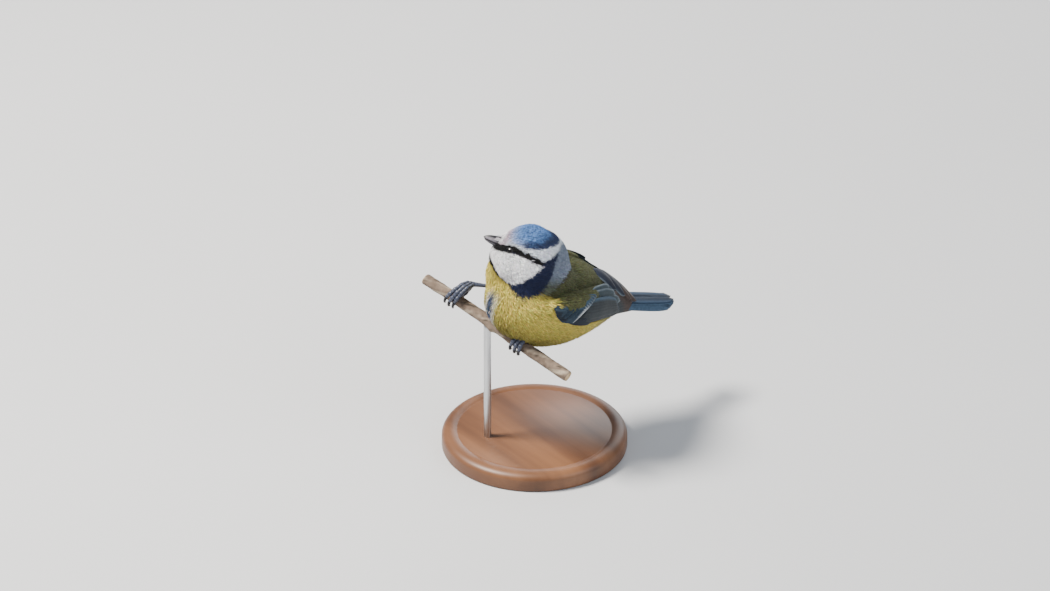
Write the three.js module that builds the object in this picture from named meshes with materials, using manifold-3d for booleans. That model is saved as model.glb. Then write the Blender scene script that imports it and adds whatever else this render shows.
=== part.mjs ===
// A life-size blue tit gripping a cut length of twig, on a small round stand.
// Millimetres, +Z up. The bird's trunk heads towards -Y, its left side is +X,
// and the origin is the centre of the stand's underside.
import * as THREE from "three";
import { mergeVertices, mergeGeometries } from "three/addons/utils/BufferGeometryUtils.js";
import Module from "manifold-3d";

const wasm = await Module();
wasm.setup();

const deg = Math.PI / 180;
const GAP = 0.3; // clearance between neighbouring pieces
const V = (x, y, z) => new THREE.Vector3(x, y, z);

// Places of the main masses
const TRUNK_CENTRE = V(2, -4, 74); // middle of the breast
const TRUNK_PITCH = 19.3; // breast end up, degrees
const TRUNK_ROLL = 13.4; // leaning to its left
const HEAD_FROM_TRUNK = V(0, -1.1, 23);
const HEAD_TURN = 46.7; // to the bird's right
const HEAD_PITCH = 21.3;
const HEAD_ROLL = 5; // its left side up
const NECK_FROM_HEAD = V(1.5, 2.1, -3.9);

// Sizes of the bird
const NECK_RADIUS = 15.3;
const EYE_RADIUS = 2.3;
const EYE_PLACE = V(7.3, -7.2, 1.7); // left eye, head frame
const BILL_LENGTH = 6.8;
const BILL_BASE = V(0, -13.4, -0.6);
const TAIL_TIP_Y = 81.5;
const WING_TIP_Y = 60;

// Twig and stand
const TWIG_RADIUS = 2.5;
const TWIG_NEAR_FOOT = V(6.9, -10.6, -14.7); // twig axis under the left foot, from the trunk centre
const TWIG_DIRECTION = V(0.891, 0.302, -0.331).normalize();
const FEET_APART = 35.6;
const BASE_RADIUS = 40;
const BASE_HEIGHT = 8;
const ROD_RADIUS = 1.6;

const group = new THREE.Group();
const trunkFrame = new THREE.Group();
trunkFrame.position.copy(TRUNK_CENTRE);
trunkFrame.rotation.set(-TRUNK_PITCH * deg, TRUNK_ROLL * deg, 0, "ZXY");
const headFrame = new THREE.Group();
headFrame.position.copy(TRUNK_CENTRE).add(HEAD_FROM_TRUNK);
headFrame.rotation.set(-HEAD_PITCH * deg, -HEAD_ROLL * deg, -HEAD_TURN * deg, "ZXY");
for (const frame of [trunkFrame, headFrame]) frame.updateMatrixWorld(true);

// Plumage and other finishes
const paint = (color, roughness = 0.85, metalness = 0) =>
  new THREE.MeshStandardMaterial({ color, roughness, metalness });
const blueCrown = paint(0x5d86bd);
const collarBlue = paint(0x27365a);
const yellow = paint(0xc9b64e);
const wingBlue = paint(0x3c5566);
const tailBlue = paint(0x3f5d78);
const horn = paint(0x2e2d33, 0.45);
const legSlate = paint(0x4a5468, 0.55);
const eyeBlack = paint(0x0c0a0a, 0.08);
const bark = paint(0x9a8676, 0.9);
const standWood = paint(0x6b4a32, 0.5);
const standSteel = paint(0x9a9c9e, 0.35, 0.9);

// A closed body from rings of points: ring(t, angle) gives a point, t runs 0 to 1
// and both ends shrink to ring centres.
function loft(ring, along, around) {
  const positions = [];
  const faces = [];
  for (let i = 0; i <= along; i++)
    for (let j = 0; j < around; j++) positions.push(...ring(i / along, (j / around) * 2 * Math.PI));
  const centre = (i) => {
    const c = V(0, 0, 0);
    for (let j = 0; j < around; j++) {
      const k = (i * around + j) * 3;
      c.add(V(...positions.slice(k, k + 3)));
    }
    return c.divideScalar(around);
  };
  for (let i = 0; i < along; i++)
    for (let j = 0; j < around; j++) {
      const a = i * around + j;
      const b = i * around + ((j + 1) % around);
      faces.push(a, b, a + around, b, b + around, a + around);
    }
  const first = positions.length / 3;
  positions.push(...centre(0), ...centre(along));
  for (let j = 0; j < around; j++) {
    const next = (j + 1) % around;
    faces.push(first, next, j, first + 1, along * around + j, along * around + next);
  }
  const geometry = new THREE.BufferGeometry();
  geometry.setAttribute("position", new THREE.Float32BufferAttribute(positions, 3));
  geometry.setIndex(faces);
  return geometry;
}

// A smooth value between named stations, each [place, value]
function between(stations, place) {
  const last = stations.length - 1;
  if (place <= stations[0][0]) return stations[0][1];
  if (place >= stations[last][0]) return stations[last][1];
  const i = stations.findIndex((s, k) => k < last && place < stations[k + 1][0]);
  const slope = (k) => {
    const a = stations[Math.max(0, k - 1)];
    const b = stations[Math.min(last, k + 1)];
    return (b[1] - a[1]) / (b[0] - a[0]);
  };
  const [x0, y0] = stations[i];
  const [x1, y1] = stations[i + 1];
  const h = x1 - x0;
  const t = (place - x0) / h;
  return (
    y0 * (1 + 2 * t) * (1 - t) ** 2 +
    slope(i) * h * t * (1 - t) ** 2 +
    y1 * t * t * (3 - 2 * t) +
    slope(i + 1) * h * t * t * (t - 1)
  );
}

// Rounds off both ends of a run, so that its rings open and close like an egg's
const egg = (t, blunt = 0.5) => Math.pow(Math.max(0, 1 - Math.abs(2 * t - 1) ** (1 / blunt)), blunt);

// A tapering round rod along a curve
function rod(curve, radius, along = 12, around = 10) {
  const frames = curve.computeFrenetFrames(along, false);
  return loft(
    (t, angle) => {
      const i = Math.round(t * along);
      const r = radius(t);
      const p = curve.getPointAt(t);
      p.addScaledVector(frames.normals[i], r * Math.cos(angle));
      p.addScaledVector(frames.binormals[i], r * Math.sin(angle));
      return p.toArray();
    },
    along,
    around,
  );
}

// Turns a geometry into a solid, its faces pointing out
function solid(geometry, matrix) {
  const g = geometry.clone();
  g.deleteAttribute("normal");
  g.deleteAttribute("uv");
  if (matrix) g.applyMatrix4(matrix);
  const merged = mergeVertices(g, 1e-4);
  const make = (triVerts) =>
    new wasm.Manifold(
      new wasm.Mesh({ numProp: 3, vertProperties: merged.attributes.position.array, triVerts }),
    );
  const index = new Uint32Array(merged.index.array);
  const made = make(index);
  if (made.volume() > 0) return made;
  for (let i = 0; i < index.length; i += 3) [index[i + 1], index[i + 2]] = [index[i + 2], index[i + 1]];
  return make(index);
}

// Adds a solid to the object as a named piece, keeping only its largest body
function piece(name, made, material) {
  const body = made.decompose().sort((a, b) => b.volume() - a.volume())[0];
  const mesh = body.getMesh();
  const geometry = new THREE.BufferGeometry();
  geometry.setAttribute("position", new THREE.BufferAttribute(mesh.vertProperties, 3));
  geometry.setIndex(new THREE.BufferAttribute(mesh.triVerts, 1));
  geometry.computeVertexNormals();
  const node = new THREE.Mesh(geometry, material);
  node.name = name;
  group.add(node);
  return body;
}

// The head: a cranium and, set lower and further forward, the full ball of cheek and throat feathers
const CRANIUM = V(12.4, 12.2, 13.6); // half width, half length, height over its centre
const CHEEK_BALL = { centre: V(0, -4.3, -5.0), radius: 10.7, wide: 1.13 };
const HEAD_BELOW = 12.0;
function headShape(grow) {
  const ball = new THREE.SphereGeometry(1, 22, 15);
  const p = ball.attributes.position;
  const c = CHEEK_BALL.centre;
  for (let i = 0; i < p.count; i++) {
    const d = V(p.getX(i), p.getZ(i), p.getY(i)).normalize();
    const height = d.z > 0 ? CRANIUM.z : HEAD_BELOW;
    const skull = 1 / Math.hypot(d.x / CRANIUM.x, d.y / CRANIUM.y, d.z / height);
    const e = V(d.x / CHEEK_BALL.wide, d.y, d.z);
    const k = e.lengthSq();
    const along = e.dot(c);
    const cheek = (along + Math.sqrt(along ** 2 - k * (c.lengthSq() - CHEEK_BALL.radius ** 2))) / k;
    const snout = Math.exp(-((d.x ** 2) / 0.05 + (d.z + 0.02) ** 2 / 0.035)) * Math.max(0, -d.y);
    d.multiplyScalar((skull ** 8 + cheek ** 8) ** 0.125 + 1.6 * snout + grow);
    p.setXYZ(i, d.x, d.y, d.z);
  }
  return solid(ball, headFrame.matrixWorld);
}

// The neck: the full collar round the back of the head, running down into the breast and back,
// and the fluffed upper breast beside it on the bird's right
const BREAST_BALL = { centre: V(-6.4, -2.7, 10.2), radius: 13.2 }; // from the trunk centre
function neckShape(grow) {
  const from = TRUNK_CENTRE.clone().add(V(0, 3, 4));
  const to = TRUNK_CENTRE.clone().add(HEAD_FROM_TRUNK).add(NECK_FROM_HEAD);
  const ball = new THREE.SphereGeometry(NECK_RADIUS + grow, 16, 11).translate(to.x, to.y, to.z);
  const column = rod(new THREE.LineCurve3(from, to), (t) => NECK_RADIUS + grow + 2.2 * (1 - t), 2, 18);
  const c = TRUNK_CENTRE.clone().add(BREAST_BALL.centre);
  const breast = new THREE.SphereGeometry(BREAST_BALL.radius + grow, 14, 10).translate(c.x, c.y, c.z);
  return solid(ball).add(solid(column)).add(solid(breast));
}

// The trunk, in its own frame: x left, y back from the middle of the breast, z up from its axis
const TRUNK_FROM = -19.5;
const TRUNK_TO = 52;
const trunkWidth = [[0, 19.8], [12, 19.6], [26, 15.6], [38, 10.6], [46, 7], [52, 4.4]];
const trunkTop = [[0, 17.6], [12, 18.0], [26, 14.6], [38, 8.6], [46, 5], [52, 2.6]];
const trunkBottom = [[0, 19.4], [12, 19.4], [26, 16.4], [38, 10.0], [46, 5.2], [52, 2.2]];
function trunkShape(grow) {
  const ring = (t, angle) => {
    const s = 0.5 - 0.5 * Math.cos(Math.PI * t);
    const y = TRUNK_FROM + (TRUNK_TO - TRUNK_FROM) * s;
    const front = y < 0 ? Math.sqrt(Math.max(0, 1 - (y / TRUNK_FROM) ** 2)) : 1;
    const w = between(trunkWidth, y) * front + grow;
    const top = between(trunkTop, y) * front + grow;
    const bottom = between(trunkBottom, y) * front + grow;
    const tip = y <= TRUNK_FROM + 0.01 ? grow : y >= TRUNK_TO - 0.01 ? -grow : 0;
    return [w * Math.cos(angle), y - tip, (Math.sin(angle) > 0 ? top : bottom) * Math.sin(angle)];
  };
  return solid(loft(ring, 14, 16), trunkFrame.matrixWorld);
}

// A folded wing: a curved blade on the flank from its bend to its tip; side is 1 left, -1 right
const wingLower = {
  x: [[-6, 17.5], [9, 20.0], [22, 17.4], [35, 12.6], [48, 8.0], [60, 3.6]],
  z: [[-6, 4], [9, 2.0], [22, 0.2], [35, -1.4], [48, -2.6], [60, -3.4]],
};
const wingUpper = {
  x: [[-6, 13.5], [9, 14.0], [22, 10.5], [30, 7.6], [45, 3.4], [60, 1.4]],
  z: [[-6, 12.5], [9, 15.2], [22, 15.2], [30, 13.4], [45, 7.0], [60, 0.2]],
};
const wingThickness = [[-6, 2.6], [9, 3.4], [22, 3.2], [35, 2.6], [48, 1.8], [60, 1.1]];
const wingBulge = [[-6, 2.0], [9, 2.6], [22, 2.2], [35, 1.6], [48, 0.8], [60, 0.3]];
const WING_LIFT = { left: 0, right: 2.4 }; // how much higher each wing is carried at its bend
function wingShape(side, grow) {
  const carried = side > 0 ? WING_LIFT.left : WING_LIFT.right;
  const ring = (t, angle) => {
    const s = 0.5 - 0.5 * Math.cos(Math.PI * t);
    const y = -6 + (WING_TIP_Y + 6) * s;
    const lift = carried * (1 - (Math.max(0, y) / WING_TIP_Y) ** 2);
    const low = V(between(wingLower.x, y), 0, between(wingLower.z, y) + lift);
    const high = V(between(wingUpper.x, y), 0, between(wingUpper.z, y) + lift);
    const open = Math.min(1, Math.sqrt(Math.max(0.02, egg(t, 0.42))));
    const middle = low.clone().add(high).multiplyScalar(0.5);
    const half = high.clone().sub(low).multiplyScalar(0.5 * open);
    half.setLength(half.length() + grow);
    const out = V(half.z, 0, -half.x).normalize();
    const thick = (between(wingThickness, y) / 2) * open + grow;
    const c = Math.cos(angle);
    const p = middle.addScaledVector(half, c);
    p.addScaledVector(out, thick * Math.sin(angle) + between(wingBulge, y) * open * (1 - c * c));
    const end = t === 0 ? -grow : t === 1 ? grow : 0;
    return [side * p.x, y + end, p.z];
  };
  return solid(loft(ring, 12, 12), trunkFrame.matrixWorld);
}

// The soft olive back that fills the hollow between the folded wings
function mantleShape(grow) {
  const ring = (t, angle) => {
    const y = -4 + 52 * t;
    const open = Math.sqrt(Math.max(0.02, egg(t, 0.42)));
    const lift = WING_LIFT.right * (1 - (Math.max(0, y) / WING_TIP_Y) ** 2);
    const left = V(between(wingUpper.x, y), 0, between(wingUpper.z, y));
    const right = V(-left.x, 0, left.z + lift);
    const half = left.clone().sub(right).multiplyScalar(0.5 * open);
    half.setLength(half.length() + grow);
    const c = Math.cos(angle);
    const s = Math.sin(angle);
    const p = left.add(right).multiplyScalar(0.5).addScaledVector(half, Math.sign(c) * Math.abs(c) ** 0.7);
    const high = (6.2 * open + grow) * Math.sign(s) * Math.abs(s) ** 0.7;
    const end = t === 0 ? -grow : t === 1 ? grow : 0;
    return [p.x, y + end, p.z - 5 + high];
  };
  return solid(loft(ring, 9, 12), trunkFrame.matrixWorld);
}

// The closed tail: a flat stack of feathers with a shallow notch at its end
const TAIL_FROM = 44;
const tailWidth = [[44, 4.6], [54, 5.9], [68, 6.9], [81.5, 7.6]];
function tailShape(grow) {
  const around = 16;
  const ring = (t, angle) => {
    const y = TAIL_FROM + (TAIL_TIP_Y - TAIL_FROM) * t;
    const w = between(tailWidth, y) + grow;
    const c = Math.cos(angle);
    const s = Math.sin(angle);
    const x = w * Math.sign(c) * Math.pow(Math.abs(c), 0.75);
    const k = x / w;
    const notch = t === 1 ? 0.9 * k * k - 3.4 * Math.max(0, k) ** 4 - 1.2 * Math.max(0, -k) ** 6 : 0;
    const crown = -0.9 * (x / w) ** 2;
    const z = 0.6 + crown + (1.5 - 0.8 * t + grow) * Math.sign(s) * Math.pow(Math.abs(s), 0.8);
    const end = t === 0 ? -grow : t === 1 ? grow : 0;
    return [x, y + end + notch, z];
  };
  return solid(loft(ring, 6, around), trunkFrame.matrixWorld);
}

// The bill: short, deep at its base and pointed, in two halves that meet along the gape
const BILL_DEPTH = 2.6;
const BILL_WIDTH = 1.9;
function billShape(upper, grow) {
  const inside = 3.0; // how far the bill runs back into the head
  const length = BILL_LENGTH - (upper ? 0 : 0.5);
  const ring = (t, angle) => {
    const y = BILL_BASE.y + inside - (inside + length) * t;
    const out = Math.max(0, (BILL_BASE.y - y) / length);
    const taper = Math.sqrt(Math.max(0.004, 1 - Math.pow(out, 1.55)));
    const s = Math.sin(angle);
    const depth = (upper ? BILL_DEPTH : BILL_DEPTH * 0.8) * taper;
    const curve = -0.35 * out * out;
    const half = upper ? Math.max(0, s) : Math.min(0, s);
    const z = BILL_BASE.z + curve + (upper ? 0.15 : -0.15) + half * depth + (s > 0 ? grow : -grow);
    const end = t === 0 ? grow : t === 1 ? -grow : 0;
    return [(BILL_WIDTH * taper + grow) * Math.cos(angle), y + end, z];
  };
  return solid(loft(ring, 8, 12), headFrame.matrixWorld);
}

function eyeShape(side, grow) {
  const p = EYE_PLACE;
  const ball = new THREE.SphereGeometry(EYE_RADIUS + grow, 10, 8).translate(side * p.x, p.y, p.z);
  return solid(ball, headFrame.matrixWorld);
}

// The twig, slightly crooked, its cut ends square, with a broken stub and a bud knot
const nearFoot = TRUNK_CENTRE.clone().add(TWIG_NEAR_FOOT);
const farFoot = nearFoot.clone().addScaledVector(TWIG_DIRECTION, -FEET_APART);
const onTwig = (s) => farFoot.clone().addScaledVector(TWIG_DIRECTION, s);
const up = V(0, 0, 1).addScaledVector(TWIG_DIRECTION, -TWIG_DIRECTION.z).normalize();
const front = TWIG_DIRECTION.clone().cross(up).normalize(); // towards the bird's front
const TWIG_BEFORE = 16; // beyond the right foot
const TWIG_AFTER = 26; // beyond the left foot
const twigCurve = new THREE.CatmullRomCurve3([
  onTwig(-TWIG_BEFORE).addScaledVector(up, -0.8),
  onTwig(0),
  onTwig(FEET_APART / 2).addScaledVector(up, 0.3),
  onTwig(FEET_APART),
  onTwig(FEET_APART + TWIG_AFTER).addScaledVector(up, 0.6),
]);
function twigShape(grow) {
  const body = solid(rod(twigCurve, (t) => TWIG_RADIUS + grow + 0.12 * Math.sin(17 * t), 12, 10));
  const stubRoot = onTwig(FEET_APART * 0.42);
  const stubTip = stubRoot.clone().addScaledVector(up, 3.2).addScaledVector(front, -3.6);
  stubTip.addScaledVector(TWIG_DIRECTION, 1.5);
  const stub = solid(rod(new THREE.LineCurve3(stubRoot, stubTip), (t) => 1.5 - 0.4 * t + grow, 4, 10));
  const knotRoot = onTwig(FEET_APART * 0.6).addScaledVector(up, -1.2).addScaledVector(front, 1.0);
  const knot = new THREE.SphereGeometry(2.1 + grow, 10, 7).translate(knotRoot.x, knotRoot.y, knotRoot.z);
  return body.add(stub).add(solid(knot));
}

// A point round the twig's skin: s along it, turn degrees from its top towards the bird's front
function gripPoint(s, turn, lift) {
  const r = TWIG_RADIUS + lift;
  return onTwig(s)
    .addScaledVector(up, r * Math.cos(turn * deg))
    .addScaledVector(front, r * Math.sin(turn * deg));
}

// A foot: three toes over the front of the twig and one behind it, each with its claw.
// Turns are degrees round the twig; spread and ahead are along it at a toe's root and end.
const TOE_RADIUS = 0.92;
const TOE_LIFT = TOE_RADIUS + 0.42;
const TOES = {
  inner: { spread: -1.1, to: 92, ahead: -2.2 },
  middle: { spread: 0, to: 106, ahead: 0 },
  outer: { spread: 1.1, to: 92, ahead: 2.2 },
  hind: { spread: 0.2, to: -128, ahead: 0.2 },
};
const LEGS = {
  left: { at: FEET_APART, root: -30, arch: 0.3, slip: 0, reach: 0, ankle: V(3, 12, 5) },
  right: { at: 0, root: -37, arch: 5.0, slip: 2.6, reach: -18, ankle: V(9.9, 11.5, -1.6) },
};
const CLAW_TURN = 60;
function toeCurve(leg, toe) {
  const points = [];
  const end = toe.to + (toe.to > 0 ? leg.reach : 0);
  for (let i = 0; i <= 6; i++) {
    const k = i / 6;
    const place = leg.at + leg.slip * (1 - k) + toe.spread + (toe.ahead - toe.spread) * k;
    const lift = TOE_LIFT + leg.arch * (1 - k) ** 1.5 + 0.25 * Math.sin(Math.PI * k);
    points.push(gripPoint(place, leg.root + (end - leg.root) * k, lift));
  }
  return new THREE.CatmullRomCurve3(points);
}
function clawCurve(leg, toe) {
  const way = Math.sign(toe.to);
  const end = toe.to + (toe.to > 0 ? leg.reach : 0);
  const points = [];
  for (let i = 0; i <= 4; i++) {
    const k = i / 4;
    const lift = TOE_LIFT + 0.5 * Math.sin(Math.PI * k) - 0.25 * k;
    points.push(gripPoint(leg.at + toe.ahead, end + way * (7 + CLAW_TURN * k), lift));
  }
  return new THREE.CatmullRomCurve3(points);
}
const toeThickness = (t) => TOE_RADIUS * (1.04 - 0.22 * t + 0.08 * Math.cos(8 * Math.PI * t));
const clawThickness = (t) => 0.74 * Math.pow(Math.max(0, 1 - t), 0.6) + 0.08;

// Build order: hard pieces first, then each soft mass is cut back from its neighbours
const eyes = { left: eyeShape(1, 0), right: eyeShape(-1, 0) };
const bill = { upper: billShape(true, 0), lower: billShape(false, 0) };
const headCut = headShape(GAP);
let head = headShape(0);
for (const side of [1, -1]) head = head.subtract(eyeShape(side, GAP));
for (const upper of [true, false]) head = head.subtract(billShape(upper, GAP));

const wings = { left: wingShape(1, 0).subtract(headCut), right: wingShape(-1, 0).subtract(headCut) };
const wingCuts = wingShape(1, GAP).add(wingShape(-1, GAP));
const tail = tailShape(0).subtract(wingCuts);
let neck = neckShape(0).subtract(headCut).subtract(wingCuts);
let trunk = trunkShape(0).add(mantleShape(0)).subtract(neckShape(GAP)).subtract(headCut);
trunk = trunk.subtract(wingCuts).subtract(tailShape(GAP));

const twigCut = twigShape(GAP);
const rodTop = onTwig(FEET_APART * 0.5);
const ROD_PLACE = V(rodTop.x, rodTop.y, 0);
const standRod = (grow) => {
  const from = BASE_HEIGHT - 5 - grow;
  const height = rodTop.z + 0.2 - from + grow;
  const r = ROD_RADIUS + grow;
  const round = new THREE.CylinderGeometry(r, r, height, 16).rotateX(90 * deg);
  return solid(round.translate(ROD_PLACE.x, ROD_PLACE.y, from + height / 2));
};
const twig = twigShape(0).subtract(standRod(GAP));

trunk = trunk.subtract(twigCut);
for (const [side, leg] of Object.entries(LEGS)) {
  const joint = gripPoint(leg.at + leg.slip, leg.root, TOE_LIFT + leg.arch);
  const ankle = joint.clone().add(leg.ankle);
  const shank = new THREE.LineCurve3(ankle, joint);
  const tarsusShape = (grow) => solid(rod(shank, (t) => 1.2 - 0.42 * Math.sin(Math.PI * t) + grow, 5, 8));
  const knuckle = (grow) => {
    const ball = new THREE.SphereGeometry(1.25 + grow, 8, 6);
    return solid(ball.translate(joint.x, joint.y, joint.z));
  };
  let foot = knuckle(0);
  let footCut = knuckle(GAP);
  for (const toe of Object.values(TOES)) {
    const curve = toeCurve(leg, toe);
    foot = foot.add(solid(rod(curve, toeThickness, 7, 6)));
    footCut = footCut.add(solid(rod(curve, (t) => toeThickness(t) + GAP, 7, 6)));
  }
  for (const [name, toe] of Object.entries(TOES)) {
    const curve = clawCurve(leg, toe);
    const clawCut = solid(rod(curve, (t) => clawThickness(t) + GAP / 2, 4, 5));
    foot = foot.subtract(clawCut);
    trunk = trunk.subtract(clawCut);
    piece(`claw_${side}_${name}`, solid(rod(curve, clawThickness, 4, 5)).subtract(twigCut), horn);
  }
  foot = foot.subtract(twigCut);
  piece(`foot_${side}`, foot, legSlate);
  piece(`tarsus_${side}`, tarsusShape(0).subtract(footCut).subtract(twigCut), legSlate);
  trunk = trunk.subtract(tarsusShape(GAP)).subtract(footCut);
  neck = neck.subtract(tarsusShape(GAP)).subtract(footCut);
}

piece("head", head, blueCrown);
piece("neck", neck, collarBlue);
piece("trunk", trunk, yellow);
piece("wing_left", wings.left, wingBlue);
piece("wing_right", wings.right.subtract(wingShape(1, GAP)), wingBlue);
piece("tail", tail, tailBlue);
piece("bill_upper", bill.upper, horn);
piece("bill_lower", bill.lower, horn);
piece("eye_left", eyes.left, eyeBlack);
piece("eye_right", eyes.right, eyeBlack);
piece("twig", twig, bark);

// The stand: a turned wooden disc with a rounded rim, and a steel rod up into the twig
const rim = new THREE.Path();
rim.moveTo(0, 0);
rim.lineTo(BASE_RADIUS - 1, 0);
rim.quadraticCurveTo(BASE_RADIUS, 0, BASE_RADIUS, 1);
rim.lineTo(BASE_RADIUS, BASE_HEIGHT - 3);
rim.quadraticCurveTo(BASE_RADIUS, BASE_HEIGHT, BASE_RADIUS - 4, BASE_HEIGHT);
rim.lineTo(0, BASE_HEIGHT);
const disc = new THREE.LatheGeometry(rim.getPoints(3), 32).rotateX(90 * deg);
piece("stand_base", solid(disc).subtract(standRod(GAP)), standWood);
piece("stand_rod", standRod(0), standSteel);

export default group;
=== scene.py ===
import bmesh
import bpy
import numpy as np
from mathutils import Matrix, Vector
from mathutils.bvhtree import BVHTree


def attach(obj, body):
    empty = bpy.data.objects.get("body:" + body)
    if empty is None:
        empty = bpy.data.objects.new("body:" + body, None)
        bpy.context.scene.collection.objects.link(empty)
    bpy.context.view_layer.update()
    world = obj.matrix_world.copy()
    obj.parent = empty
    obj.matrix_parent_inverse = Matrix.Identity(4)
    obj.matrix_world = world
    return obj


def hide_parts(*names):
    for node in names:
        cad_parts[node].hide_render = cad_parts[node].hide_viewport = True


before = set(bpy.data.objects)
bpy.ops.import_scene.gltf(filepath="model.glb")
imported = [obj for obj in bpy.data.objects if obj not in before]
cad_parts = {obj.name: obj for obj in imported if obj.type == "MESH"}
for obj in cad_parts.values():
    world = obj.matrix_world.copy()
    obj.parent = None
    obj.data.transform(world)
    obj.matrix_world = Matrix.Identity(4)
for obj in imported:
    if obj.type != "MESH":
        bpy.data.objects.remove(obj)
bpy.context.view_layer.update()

# The camera looks at the bird from its front left and from above, from far enough away
# that nothing is foreshortened. The picture spans 447 mm at the bird.
MM = 0.001
turn, rise = np.radians(52.7), np.radians(30.0)
to_camera = np.array([np.sin(turn) * np.cos(rise), -np.cos(turn) * np.cos(rise), np.sin(rise)])
picture_right = np.array([np.cos(turn), np.sin(turn), 0.0])
picture_up = np.cross(to_camera, picture_right)
trunk_centre = np.array([2.0, -4.0, 74.0])
PICTURE_WIDTH, CAMERA_DISTANCE = 446.8, 3200.0


def hang(name, data, place_mm, way):
    """Puts a camera or a lamp at a place, looking one way."""
    thing = bpy.data.objects.new(name, data)
    thing.location = Vector(place_mm * MM)
    thing.rotation_euler = Vector(way).to_track_quat("-Z", "Y").to_euler()
    bpy.context.scene.collection.objects.link(thing)
    return thing


aim = trunk_centre - 2.13 * picture_right + 1.91 * picture_up
camera_data = bpy.data.cameras.new("camera")
camera_data.sensor_width = 36.0
camera_data.lens = 36.0 * CAMERA_DISTANCE / PICTURE_WIDTH
camera_data.clip_end = 50.0
bpy.context.scene.camera = hang("camera", camera_data, aim + to_camera * CAMERA_DISTANCE, -to_camera)

# The studio: a warm key light from the upper left, as the light falls in the photograph,
# a wide cool fill from the right, a pale floor and an even pale surround.
def area_light(name, right, up, near, distance, size, watts, color):
    data = bpy.data.lights.new(name, "AREA")
    data.shape, data.size, data.energy, data.color = "DISK", size, watts, color
    direction = right * picture_right + up * picture_up + near * to_camera
    direction = direction / np.linalg.norm(direction)
    hang(name, data, trunk_centre + direction * distance, -direction)


area_light("key", -0.62, 0.85, 0.50, 1400, 0.42, 62.0, (1.0, 0.95, 0.87))
area_light("fill", 0.8, 0.25, 0.7, 1500, 1.2, 11.0, (0.86, 0.93, 1.0))
area_light("back", 0.3, 0.8, -0.7, 1500, 0.9, 8.0, (0.95, 0.97, 1.0))
world = bpy.data.worlds.new("surround")
world.use_nodes = True
world.node_tree.nodes["Background"].inputs["Color"].default_value = (0.80, 0.83, 0.88, 1.0)
world.node_tree.nodes["Background"].inputs["Strength"].default_value = 0.42
bpy.context.scene.world = world


def noise_node(tree, scale, detail=4.0, stretch=(1.0, 1.0, 1.0)):
    place = tree.nodes.new("ShaderNodeTexCoord")
    mapping = tree.nodes.new("ShaderNodeMapping")
    mapping.inputs["Scale"].default_value = stretch
    noise = tree.nodes.new("ShaderNodeTexNoise")
    noise.inputs["Scale"].default_value = scale
    noise.inputs["Detail"].default_value = detail
    tree.links.new(place.outputs["Object"], mapping.inputs["Vector"])
    tree.links.new(mapping.outputs["Vector"], noise.inputs["Vector"])
    return noise.outputs["Fac"]


def bump_node(tree, shader, height, distance, strength):
    bump = tree.nodes.new("ShaderNodeBump")
    bump.inputs["Strength"].default_value = strength
    bump.inputs["Distance"].default_value = distance
    tree.links.new(height, bump.inputs["Height"])
    tree.links.new(bump.outputs["Normal"], shader.inputs["Normal"])


def mottled(name, roughness, specular, grain, stops, bump=None):
    """A material coloured by a noise, grain, through stops of colour, and raised by it where bump says so."""
    material = bpy.data.materials.new(name)
    material.use_nodes = True
    tree = material.node_tree
    shader = tree.nodes["Principled BSDF"]
    shader.inputs["Roughness"].default_value = roughness
    shader.inputs["Specular IOR Level"].default_value = specular
    noise = noise_node(tree, *grain)
    ramp = tree.nodes.new("ShaderNodeValToRGB")
    while len(ramp.color_ramp.elements) < len(stops):
        ramp.color_ramp.elements.new(0.5)
    for element, (place, color) in zip(ramp.color_ramp.elements, stops):
        element.position = place
        element.color = (*color, 1.0)
    tree.links.new(noise, ramp.inputs["Fac"])
    tree.links.new(ramp.outputs["Color"], shader.inputs["Base Color"])
    if bump:
        bump_node(tree, shader, noise, *bump)
    return material, tree, shader


floor_mesh = bpy.data.meshes.new("floor")
half = 6.0
floor_corners = [(-half, -half, 0), (half, -half, 0), (half, half, 0), (-half, half, 0)]
floor_mesh.from_pydata(floor_corners, [], [(0, 1, 2, 3)])
floor = bpy.data.objects.new("floor", floor_mesh)
bpy.context.scene.collection.objects.link(floor)
floor_stops = [(0.3, (0.55, 0.56, 0.58)), (0.7, (0.58, 0.59, 0.61))]
floor_mesh.materials.append(mottled("floor_paint", 0.85, 0.2, (3.0,), floor_stops)[0])

# The body under the feathers: one skin over head, neck, trunk, wing roots and tail root,
# inside the feather tips by the depth of the coat, thinner on the face.
def turned(axis, degrees):
    c, s = np.cos(np.radians(degrees)), np.sin(np.radians(degrees))
    return np.array({"x": [[1, 0, 0], [0, c, -s], [0, s, c]], "y": [[c, 0, s], [0, 1, 0], [-s, 0, c]],
                     "z": [[c, -s, 0], [s, c, 0], [0, 0, 1]]}[axis])


head_centre = trunk_centre + np.array([0.0, -1.1, 23.0])
head_turn = turned("z", -46.7) @ turned("x", -21.3) @ turned("y", -5.0)
trunk_turn = turned("x", -19.3) @ turned("y", 13.4)
in_head = lambda p: (p - head_centre) @ head_turn
from_head = lambda q: q @ head_turn.T + head_centre
in_trunk = lambda p: (p - trunk_centre) @ trunk_turn
from_trunk = lambda q: q @ trunk_turn.T + trunk_centre


def between(stations, place):
    """A smooth value between stations, each (place, value)."""
    xs, ys = np.array(stations, float).T
    slopes = np.gradient(ys, xs)
    slopes[1:-1] = (ys[2:] - ys[:-2]) / (xs[2:] - xs[:-2])
    place = np.clip(place, xs[0], xs[-1])
    i = np.clip(np.searchsorted(xs, place, side="right") - 1, 0, len(xs) - 2)
    h = xs[i + 1] - xs[i]
    t = (place - xs[i]) / h
    return (ys[i] * (1 + 2 * t) * (1 - t) ** 2 + slopes[i] * h * t * (1 - t) ** 2
            + ys[i + 1] * t * t * (3 - 2 * t) + slopes[i + 1] * h * t * t * (t - 1))


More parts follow.
